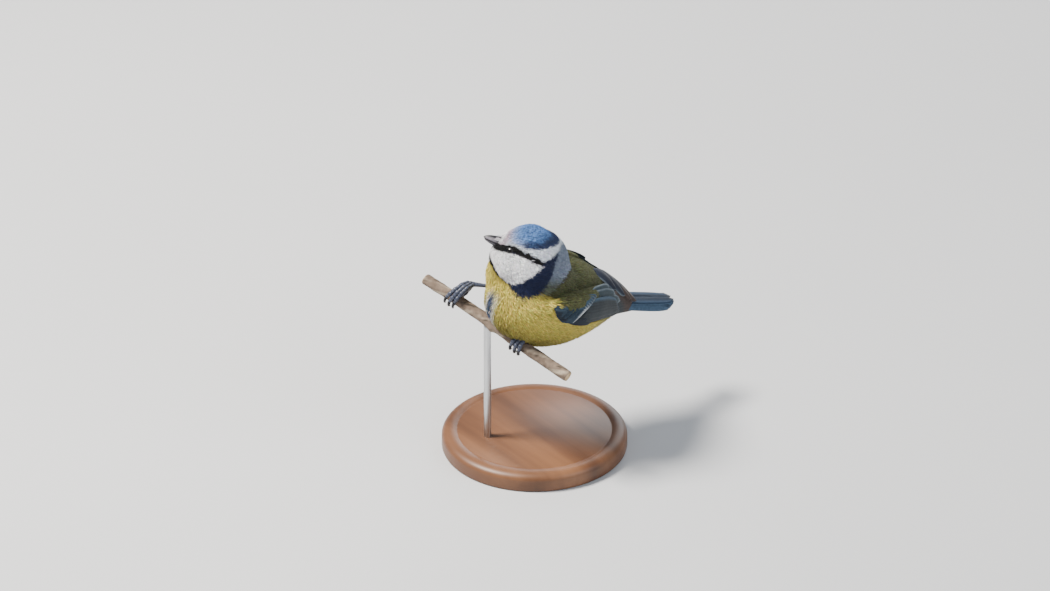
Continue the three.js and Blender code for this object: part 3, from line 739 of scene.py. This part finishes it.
# Inner feathers of the right wing that cross the rump: root and tip of each, x and y in the trunk's frame
crossing = (((-7.0, 34.0), (4.4, 56.5)), ((-5.2, 32.5), (5.8, 51.5)), ((-3.4, 30.0), (7.0, 45.5)),
            ((-1.4, 26.5), (7.4, 38.0)))
primary_tips = [(59.8, -0.15), (59.0, 0.10), (57.6, 0.32), (55.6, 0.50), (53.2, 0.62), (50.4, 0.72),
                (47.2, 0.80), (43.8, 0.84)]
covert_ends = [(-0.75, 6.4), (-0.03, 9.8), (0.49, 16.0), (0.7, 19.0)]
for side, side_name in ((1, "left"), (-1, "right")):
    bank = Feathers()

    def lay(start, end, lift, width, color_of, steps, skew=0.0):
        """One feather on the folded wing, from start to end, each (y, across)."""
        along = np.linspace(0, 1, steps)
        y, c, high = (low + (top - low) * along for low, top in zip((*start, lift[0]), (*end, lift[1])))
        line = wing_point(side, y, c, high)
        up_dir = unit(wing_point(side, y, c, high + 1.0) - line)
        bank.add(line, up_dir, outline(along, width), color_of, side, skew)

    for i, end in enumerate(primary_tips):  # the longest lowest
        k = i / 7
        lay((8 + k, -0.66 + 0.36 * k), end, (0.10 * i, -0.35 + 0.13 * i), 4.0,
            edged(WING_DARK, WING_EDGE, 0.66, BROWN_TIP, 0.8, seed=i), 22, 0.1)
    for i in range(6):  # secondaries
        k = i / 5
        lay((9 + 3 * k, -0.48 + 0.80 * k), (43.5 - i, -0.42 + 0.66 * k), (0.65 + 0.08 * i, 0.25 + 0.14 * i),
            4.2, edged(WING_DARK, WING_TEAL, 0.45, seed=10 + i), 18, 0.1)
    inward = 0.0 if side > 0 else -0.16  # tertials tucked lower on the right wing
    for i, (y, across, width) in enumerate(((42, 0.30, 5.2), (37, 0.60, 5.6), (31.5, 0.86, 5.6))):
        lift = (-0.2 + 3 * inward, 0.95 + 4 * inward + 0.22 * i)
        lay((14 + i, 0.32 + inward + 0.18 * i), (y, across + inward), lift, width,
            edged(TERTIAL, TERTIAL_EDGE, 0.86, TERTIAL_EDGE, 0.97, seed=20 + i), 14)
    for i in range(6):  # primary coverts and the small feathers of the thumb
        lay((3.5 - 0.6 * i, -0.84 + 0.05 * i), (19 - 1.1 * i, -0.84 + 0.07 * i), (-0.3, 0.75 + 0.08 * i), 2.4,
            edged(COVERT_DARK, COVERT, 0.4, seed=30 + i), 10)
    for i in range(16):  # greater coverts, their white tips the wing bar, fading upwards
        across = -0.70 + 1.35 * i / 15
        if side < 0 and across > 0.2:
            continue
        fade = 0.85 * ease(0.0, 0.4, across)
        back = between(covert_ends, across)
        lay((max(back - 10, wing_front(across)), across - 0.10), (back, across), (-0.2, 1.35 + 0.03 * i), 3.0,
            edged(COVERT, WING_TEAL, 0.45, WING_WHITE * (1 - fade) + WING_TEAL * fade, 0.95, seed=40 + i), 14)
    for row in range(3):  # median and lesser coverts
        for i in range(7 - row):
            across = -0.74 + 0.75 * i / (6 - row)
            back = between(covert_ends[:2], across) - 3.4 - 2.6 * row
            root = max(back - 5.5, wing_front(across))
            if back - root >= 2.5:
                lift = (-0.3 + 0.5 * (root > back - 5.4), 1.6 + 0.10 * row)
                lay((root, across - 0.04), (back, across), lift, 3.0,
                    edged(COVERT_DARK, COVERT, 0.0, COVERT, 0.7, seed=60 + 10 * row + i), 9)
    for i, (start, end) in enumerate(crossing if side < 0 else ()):  # flat over the rump, the longest lowest
        along = np.linspace(0, 1, 18)
        flat = np.array(start) + (np.array(end) - np.array(start)) * along[:, None]
        flat[:, 0] += 0.7 * np.sin(np.pi * along)
        high = back_surface(flat) + 0.4 + 0.25 * i - 2.2 * (1 - along) ** 3 - 1.5 * along ** 2
        line = from_trunk(np.column_stack([flat, high]))
        forward = unit(np.gradient(line, axis=0))
        up_dir = trunk_turn @ np.array([0.32, 0.06, 0.94])  # leaning over to the left
        up_dir = unit(up_dir - forward * (forward @ up_dir)[:, None])
        edge, tip = TERTIAL_EDGE if i else WING_EDGE, BROWN_TIP if i < 2 else None
        bank.add(line, up_dir, outline(along, 5.2 + 0.1 * i),
                 edged(FAR_DARK, edge, 0.86, tip, 0.72, seed=90 + i, edge_side=1))
    bank.place("feathers_wing_" + side_name, "wing_feathers")

# The tail: twelve stiff feathers stacked and a little fanned, the middle pair on top.
# Each is dark with a blue outer edge.
TAIL_DARK, TAIL_BLUE, TAIL_EDGE = linear(28, 40, 56), linear(44, 62, 84), linear(72, 93, 115)
TAIL_ROOT, TAIL_END = 38, 81.2  # y in the trunk's frame
bank = Feathers()
for rank in range(6):
    for side in (1, -1):
        k = rank / 5
        along = np.linspace(0, 1, 16)
        x = side * (1.1 + 0.35 * rank + 0.35 * rank * along)
        y = TAIL_ROOT + (TAIL_END - 0.8 * k - 2.6 * k ** 3 * (side > 0) - TAIL_ROOT) * along
        z = 1.75 - 0.16 * rank - 0.35 * along + (0.08 if side > 0 else 0.0) - 0.012 * x ** 2
        line = from_trunk(np.stack([x, y, z], -1))
        up_dir = trunk_turn @ unit(np.array([0.10 * side * rank, 0.0, 1.0]))
        color_of = edged(TAIL_DARK, TAIL_EDGE if rank else TAIL_BLUE, 0.35, seed=80 + rank, edge_side=side)
        bank.add(line, up_dir, outline(along, 6.4, 0.42), color_of, camber=0.05)
bank.place("feathers_tail", "tail_feathers", ("tail",))

# The bristles: stiff, pale and hair-thin. They lie forward over the nostrils, on both sides
# of the bill's ridge.
bank = Feathers()
rng = np.random.default_rng(77)
along = np.linspace(0, 1, 6)
for i in range(90):
    side = 1 if i % 2 else -1
    spot = np.array([side * rng.uniform(0.5, 1.9), -12.9 + rng.uniform(-0.5, 0.6), rng.uniform(0.4, 1.9)])
    way = np.array([-side * 0.12 + rng.normal(0, 0.1), -1.0, rng.normal(-0.12, 0.08)])
    arch = np.array([0, 0, 0.25]) * np.sin(np.pi * along)[:, None]
    line = from_head(spot + way * (rng.uniform(1.6, 3.0) * along)[:, None] + arch)
    color_of = edged(CHEEK * rng.uniform(0.6, 1.0), FOREHEAD, 0.5, seed=i, edge_side=1)
    up_dir = head_turn @ unit(np.array([side * 0.8, -0.1, 0.7]))
    bank.add(line, up_dir, outline(along, 0.16) * 0.8 + 0.02, color_of, thickness=0.08)
bank.place("bristles", "crown_feathers")

# The bill: two short horny halves meeting along the gape, the upper a little longer.
# They are dark, with paler grey sides.
horn_stops = [(0.3, (0.75, 0.75, 0.78)), (0.7, (1.2, 1.2, 1.2))]
horn_paint = painted("horn_paint", 0.45, 0.35, (1500.0, 3.0), horn_stops, (0.00008, 0.5))[0]
BILL_LENGTH, BILL_DEPTH, BILL_WIDTH, BILL_INSIDE = 6.8, 2.6, 1.9, 3.0
HORN_DARK, HORN_PALE = linear(24, 24, 31), linear(132, 128, 136)
for name, up, length, depth, pale_to, pale_share in (
    ("bill_upper", 1, BILL_LENGTH, BILL_DEPTH, (0.80, 0.50), 0.85),
    ("bill_lower", -1, BILL_LENGTH - 0.5, BILL_DEPTH * 0.8, (0.62, 0.34), 0.40),
):
    t, a = grid(np.linspace(0, 1, 26), full_turn(28))
    y = BILL_ROOT[1] + BILL_INSIDE - (BILL_INSIDE + length) * t
    out = np.clip((BILL_ROOT[1] - y) / length, 0, 1)
    taper = np.sqrt(np.clip(1 - out ** 1.55, 0.004, 1))
    away = np.maximum(0, up * np.sin(a))  # 0 at the cutting edge, 1 at the ridge or keel
    z = BILL_ROOT[2] - 0.35 * out ** 2 + up * 0.12 + up * away * (depth * taper)
    x = BILL_WIDTH * taper * np.cos(a) * (1 - 0.35 * away ** 2)
    points, faces = tube_mesh(from_head(np.stack([x, y, z], -1)))
    mesh = make_mesh("bill", points, faces)
    high = np.append(away.ravel(), [1, 1])
    pale = ease(*pale_to, high) * ease(0.04, 0.26, high) * np.append(ease(1.0, 0.8, out).ravel(), [0, 0])
    paint(mesh, blend(HORN_DARK, HORN_PALE, pale * pale_share))
    place_piece(name + "_horn", mesh, horn_paint, (name,))

# The eyes: dark brown glossy balls with a black pupil and a slightly raised cornea,
# sunk in a narrow ring of bare lid skin.
eye_paint = bpy.data.materials.new("eye_paint")
eye_paint.use_nodes = True
tree = eye_paint.node_tree
shader = tree.nodes["Principled BSDF"]
for what, value in (("Roughness", 0.03), ("Specular IOR Level", 0.5), ("Coat Weight", 0.5),
                    ("Coat Roughness", 0.02)):
    shader.inputs[what].default_value = value
attribute = tree.nodes.new("ShaderNodeAttribute")
attribute.attribute_name = "paint"
tree.links.new(attribute.outputs["Color"], shader.inputs["Base Color"])
lid_stops = [(0.3, linear(16, 17, 24)), (0.7, linear(22, 22, 28))]
lid_paint = mottled("lid_paint", 0.6, 0.4, (3000.0, 2.0), lid_stops, (0.0001, 0.8))[0]
EYE_RADIUS = 2.3
for side, side_name in ((1, "left"), (-1, "right")):
    centre = EYE_PLACE * np.array([side, 1, 1])
    look = unit(np.array([side * 0.86, -0.48, 0.16]))
    east = unit(np.cross(look, [0, 0, 1.0]))
    north = np.cross(east, look)

    def round_look(reach, polar, a):
        """Points at a reach from the eye's centre, polar away from where it looks and a round that."""
        rim = east * np.cos(a)[..., None] + north * np.sin(a)[..., None]
        ahead, aside = (reach * np.cos(polar))[..., None], (reach * np.sin(polar))[..., None]
        return from_head(centre + look * ahead + rim * aside)

    polar, a = grid(np.radians(np.linspace(1.0, 179.0, 40)), full_turn(48))
    cornea = EYE_RADIUS * (1 + 0.04 * ease(0.75, 0.3, polar))
    mesh = make_mesh("eye_" + side_name, *tube_mesh(round_look(cornea, polar, a)))
    angle = np.append(np.degrees(polar).ravel(), [0, 180])
    paint(mesh, blend(linear(6, 5, 6), linear(15, 9, 8), ease(18, 23, angle) * ease(44, 38, angle)))
    place_piece("eye_ball_" + side_name, mesh, eye_paint, ("eye_" + side_name,))
    ring, around = grid(full_turn(64), full_turn(12))
    thick = 0.22 * (1 + 0.12 * np.sin(24 * ring))
    opening = np.radians(41 - 5 * np.abs(np.sin(ring)))
    polar = opening + thick / EYE_RADIUS * np.sin(around)
    lid = round_look(EYE_RADIUS + 0.05 + thick * np.cos(around), polar, ring)
    n, m = ring.shape
    i, j = grid(np.arange(n), np.arange(m))
    next_i, next_j = (i + 1) % n, (j + 1) % m
    quads = np.stack([i * m + j, next_i * m + j, next_i * m + next_j, i * m + next_j], -1).reshape(-1, 4)
    mesh = make_mesh("lid_" + side_name, lid.reshape(-1, 3), quads)
    place_piece("lid_" + side_name, mesh, lid_paint)

# The twig: a cut length of slightly crooked branch with rough grey-brown bark, a knot and
# the stub of a side shoot. The wood shows pale where it is cut.
twig_dir = unit(np.array([0.891, 0.302, -0.331]))
twig_up = unit(np.array([0, 0, 1.0]) - twig_dir * twig_dir[2])
twig_front = unit(np.cross(twig_dir, twig_up))
FEET_APART, TWIG_RADIUS, TWIG_BEFORE, TWIG_AFTER = 35.6, 2.5, 16.0, 26.0
near_foot = trunk_centre + np.array([6.9, -10.6, -14.7])
far_foot = near_foot - twig_dir * FEET_APART
bark_stops = [(0.25, (0.55, 0.52, 0.5)), (0.5, (0.95, 0.93, 0.92)), (0.75, (1.35, 1.33, 1.3))]
bark_paint = painted("bark_paint", 0.9, 0.2, (420.0, 6.0), bark_stops, (0.0004, 0.9))[0]
BARK, BARK_PALE = linear(116, 102, 90), linear(156, 144, 128)
BARK_DARK, CUT_WOOD = linear(66, 60, 54), linear(206, 180, 142)


def along_twig(s, a, r):
    """A point s along the twig, a degrees round it from its top to its front, r off its axis."""
    spoke = twig_up * np.cos(np.radians(a))[..., None] + twig_front * np.sin(np.radians(a))[..., None]
    return far_foot + twig_dir * s[..., None] + spoke * r[..., None]


def ripple(x, y, seed, octaves=4):
    """Smooth random waves of two variables, repeating every 360 of y."""
    rng = np.random.default_rng(seed)
    total = np.zeros_like(x)
    for o in range(octaves):
        for _ in range(4):
            fx, fy, ph = rng.uniform(0.12, 0.3) * 2 ** o, rng.integers(1, 3 + 2 ** o), rng.uniform(0, 6.28)
            total += np.sin(fx * x + np.radians(fy * y) + ph) / 2 ** o / 4
    return total


def joined(bodies):
    """Points and faces of several bodies, each (points, faces), as one."""
    starts = np.cumsum([0] + [len(points) for points, _ in bodies])
    faces = [tuple(i + start for i in f) for start, (_, own) in zip(starts, bodies) for f in own]
    return np.concatenate([points for points, _ in bodies]), faces


s, a = grid(np.linspace(-TWIG_BEFORE, FEET_APART + TWIG_AFTER, 220), np.linspace(0, 360, 56, endpoint=False))
crook = [(-TWIG_BEFORE, -0.8), (0, 0), (FEET_APART / 2, 0.3), (FEET_APART, 0), (FEET_APART + TWIG_AFTER, 0.6)]
grip = np.minimum(1, np.minimum(ease(2, 5, np.abs(s)), ease(2, 5, np.abs(s - FEET_APART))) + 0.3)
r = TWIG_RADIUS - 0.05 + grip * (0.20 * ripple(s, a, 5) + 0.09 * ripple(s * 4, a * 3, 6))
knot_s, knot_a = FEET_APART * 0.6, 140
r = r + 0.9 * np.exp(-((s - knot_s) / 1.8) ** 2 - (((a - knot_a + 180) % 360 - 180) / 40) ** 2)
from_end = np.minimum(s + TWIG_BEFORE, FEET_APART + TWIG_AFTER - s)
r = r * np.minimum(1, 0.86 + 0.14 * ease(0, 0.6, from_end))
twig = tube_mesh(along_twig(s, a, r) + twig_up * between(crook, s)[..., None])
color = blend(BARK, BARK_PALE, ease(0.1, 0.8, ripple(s * 1.5, a, 7)).ravel())
color = blend(color, BARK_DARK, ease(0.3, 1.0, ripple(s * 3, a * 2, 8)).ravel())
color = blend(color, CUT_WOOD, ease(0.15, 0.0, from_end.ravel()) * 0.8)
t, a = grid(np.linspace(0, 1, 14), full_turn(20))
stub_way = twig_up * 3.2 - twig_front * 3.6 + twig_dir * 1.5
stub_east = unit(np.cross(stub_way, twig_dir))
stub_north = unit(np.cross(stub_east, stub_way))
spoke = stub_east * np.cos(a)[..., None] + stub_north * np.sin(a)[..., None]
stub_r = 1.5 - 0.4 * t + 0.1 * np.sin(3 * a + 5 * t)
stub = far_foot + twig_dir * FEET_APART * 0.42 + stub_way * (t * 1.02)[..., None] + spoke * stub_r[..., None]
stub_color = blend(BARK, CUT_WOOD, np.append((t > 0.98).ravel(), [0, 1]).astype(float))
twig_mesh = make_mesh("twig", *joined([twig, tube_mesh(stub)]))
paint(twig_mesh, np.concatenate([color, [CUT_WOOD, CUT_WOOD], stub_color]))
place_piece("twig_bark", twig_mesh, bark_paint, ("twig",))

# The legs and feet: slate-blue scaly skin over thin bone, three toes in front and one behind,
# closed round the twig, with dark curved claws.
leg_stops = [(0.3, (0.7, 0.7, 0.72)), (0.7, (1.25, 1.25, 1.25))]
leg_paint = painted("leg_paint", 0.42, 0.5, (2200.0, 3.0), leg_stops, (0.0001, 0.6))[0]
LEG_SLATE, LEG_PALE, CLAW_DARK = linear(28, 31, 44), linear(96, 106, 132), linear(20, 20, 27)
TOE_RADIUS = 0.92
TOE_LIFT = TOE_RADIUS + 0.42
# Each toe: its place along the twig at the root, how far round the twig it ends, and its place there
TOES = (("inner", -1.1, 92, -2.2), ("middle", 0.0, 106, 0.0), ("outer", 1.1, 92, 2.2),
        ("hind", 0.2, -128, 0.2))


def rod_mesh(line, radius, away, around, scutes=0, depth=0.0):
    """A round rod along a line. away points from the twig, the side on which scutes make low steps."""
    forward = unit(np.gradient(line, axis=0))
    top = unit(away - forward * (away * forward).sum(-1, keepdims=True))
    across = np.cross(forward, top)
    a = full_turn(around)
    saw = (np.linspace(0, 1, len(line)) * scutes) % 1.0
    step = (1 - saw) * ease(0.0, 0.12, saw)
    radius = radius[:, None] * (1 + depth * step[:, None] * np.clip(np.sin(a), 0, 1))
    ring = top[:, None] * np.sin(a)[None, :, None] + across[:, None] * np.cos(a)[None, :, None]
    return tube_mesh(line[:, None] + ring * radius[..., None])


def upper_side(rows, around):
    return np.tile(np.clip(np.sin(full_turn(around)), 0, 1), (rows, 1))


for leg_name, at, root, arch, slip, reach, ankle in (
    ("left", FEET_APART, -30, 0.3, 0.0, 0, (3, 12, 5)),
    ("right", 0.0, -37, 5.0, 2.6, -18, (9.9, 11.5, -1.6)),
):
    foot, foot_colors, claws = [], [], []
    for _, spread, to, ahead in TOES:
        end = to + (reach if to > 0 else 0)
        t = np.linspace(0, 1, 44)
        place = at + slip * (1 - t) + spread + (ahead - spread) * t
        turned_to = root + (end - root) * t
        lift = TOE_LIFT + arch * (1 - t) ** 1.5 + 0.25 * np.sin(np.pi * t)
        line = along_twig(place, turned_to, TWIG_RADIUS + lift)
        away = unit(line - along_twig(place, turned_to, np.zeros_like(place)))
        radius = TOE_RADIUS * (1.10 - 0.16 * t + 0.12 * np.cos(8 * np.pi * t))
        radius = radius * np.sqrt(np.clip(1 - ((t - 0.5) / 0.505) ** 16, 0.05, 1))
        foot.append(rod_mesh(line, radius, away, 14, 9 if to > 0 else 6, 0.20))
        # Painted highlight: the toes paler on their upper sides, in bands along the scutes.
        gleam = (0.25 + 0.6 * upper_side(44, 14) * (0.5 + 0.5 * np.sin(9 * 2 * np.pi * t))[:, None]).ravel()
        foot_colors.append(blend(LEG_SLATE, LEG_PALE, np.append(gleam, [0.3, 0.3]) * 0.5))
        k, place = np.linspace(0, 1, 20), np.full(20, at + ahead)
        turned_to = end + np.sign(to) * (2 + 65 * k)
        line = along_twig(place, turned_to, TWIG_RADIUS + (TOE_LIFT + 0.5 * np.sin(np.pi * k) - 0.25 * k))
        away = unit(line - along_twig(place, turned_to, np.zeros(20)))
        claws.append(rod_mesh(line, 0.72 * np.clip(1 - k, 0, 1) ** 0.6 + 0.06, away, 12))
    joint = along_twig(np.array(at + slip), np.array(float(root)), np.array(TWIG_RADIUS + TOE_LIFT + arch))
    t = np.linspace(0, 1, 40)
    line = (joint + np.array(ankle)) * (1 - t[:, None]) + joint * t[:, None]
    away = np.tile(to_camera * 0.4 + np.array([0, -0.6, 0.6]), (40, 1))
    foot.append(rod_mesh(line, 1.2 - 0.42 * np.sin(np.pi * t), away, 16, 10, 0.14))
    # Painted highlight: the leg paler on its upper side.
    shine = np.append(0.08 + 0.25 * upper_side(40, 16).ravel(), [0.1, 0.1])
    foot_colors.append(blend(LEG_SLATE, LEG_PALE, shine))
    polar, a = grid(np.radians(np.linspace(2, 178, 14)), full_turn(18))
    outward = np.stack([np.sin(polar) * np.cos(a), np.sin(polar) * np.sin(a), np.cos(polar)], -1)
    knuckle = joint + 1.27 * outward
    foot.append(tube_mesh(knuckle))
    foot_colors.append(np.tile(LEG_SLATE * 1.3, (knuckle.shape[0] * knuckle.shape[1] + 2, 1)))
    mesh = make_mesh("foot_" + leg_name, *joined(foot))
    paint(mesh, np.concatenate(foot_colors))
    foot_nodes = ("foot_" + leg_name, "tarsus_" + leg_name)
    place_piece("foot_scaly_" + leg_name, mesh, leg_paint, foot_nodes)
    mesh = make_mesh("claws_" + leg_name, *joined(claws))
    paint(mesh, CLAW_DARK)
    claw_nodes = [f"claw_{leg_name}_{toe[0]}" for toe in TOES]
    place_piece("claws_" + leg_name, mesh, horn_paint, claw_nodes)

# The stand: a turned disc of oiled hardwood with a shallow groove near its rim, and a brushed
# steel rod up into the twig.
wood_stops = [(0.3, linear(64, 40, 26)), (0.5, linear(98, 64, 42)), (0.7, linear(126, 86, 58))]
wood_paint = mottled("wood_paint", 0.42, 0.4, (26.0, 5.0, (0.18, 2.2, 1.0)), wood_stops, (0.0002, 0.3))[0]
steel_stops = [(0.3, (0.42, 0.43, 0.44)), (0.7, (0.62, 0.63, 0.64))]
steel_paint, tree, shader = mottled("steel_paint", 0.32, 0.5, (900.0, 2.0, (1.0, 1.0, 0.05)), steel_stops)
shader.inputs["Metallic"].default_value = 1.0
BASE_RADIUS, BASE_HEIGHT, ROD_RADIUS = 40.0, 8.0, 1.6
ROD_START, ROD_SHORT = 4.0, 1.0  # it starts inside the base and ends just under the twig's middle


def lathe(x, y, profile, around):
    """A body turned about the upright line at x, y, from pairs of radius and height."""
    radius, height = np.array(profile).T[:, :, None]
    a = full_turn(around)
    return tube_mesh(np.stack([x + radius * np.cos(a), y + radius * np.sin(a), height + 0 * a], -1))


foot_round, shoulder_round = np.linspace(0.2, np.pi / 2, 6), np.linspace(0, np.pi / 2, 12)
disc = [(BASE_RADIUS - 1, 0.0)]
disc += [(BASE_RADIUS - 1 + np.sin(q), 1 - np.cos(q)) for q in foot_round]
disc += [(BASE_RADIUS - 4 + 4 * np.cos(q), BASE_HEIGHT - 3 + 3 * np.sin(q)) for q in shoulder_round]
groove = ((6.0, 0), (6.4, 0.3), (7.0, 0.3), (7.4, 0))
disc += [(BASE_RADIUS - inset, BASE_HEIGHT - deep) for inset, deep in groove]
base_mesh = make_mesh("base", *lathe(0.0, 0.0, disc, 128))
place_piece("stand_base_wood", base_mesh, wood_paint, ("stand_base",))
rod_top = far_foot + twig_dir * FEET_APART * 0.5
heights = ROD_START + (rod_top[2] - ROD_SHORT - ROD_START) * np.linspace(0, 1, 24)
rod = make_mesh("rod", *lathe(rod_top[0], rod_top[1], [(ROD_RADIUS, z) for z in heights], 40))
place_piece("stand_rod_steel", rod, steel_paint, ("stand_rod",))
